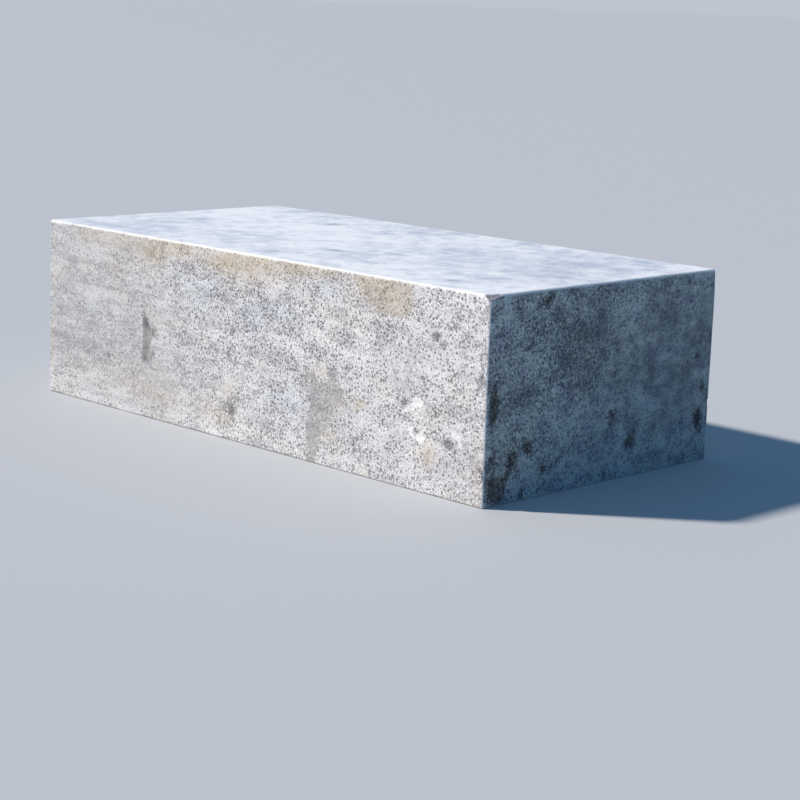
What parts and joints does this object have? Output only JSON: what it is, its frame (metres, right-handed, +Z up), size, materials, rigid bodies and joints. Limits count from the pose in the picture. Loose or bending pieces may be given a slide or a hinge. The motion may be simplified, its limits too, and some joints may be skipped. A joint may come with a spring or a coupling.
{
  "type": "marble block",
  "caption": "Rectangular block of weathered marble with eased edges, a honed top and pitted sawn sides, resting flat as a garden seat, low table or plinth.",
  "frame": {"origin": "middle of the underside, on the surface that the block stands on", "axes": "+X along the length, towards the end with the dark blotches; -Y out of the long front side; +Z up, through the honed top"},
  "size_m": [1.2, 0.6, 0.35],
  "materials": {
    "weathered_marble": "honed top with a faint sheen, sawn and weathered sides with grey specks, pits and ochre stains"
  },
  "bodies": {
    "root": {"marble_block": "weathered_marble"}
  },
  "joints": []
}
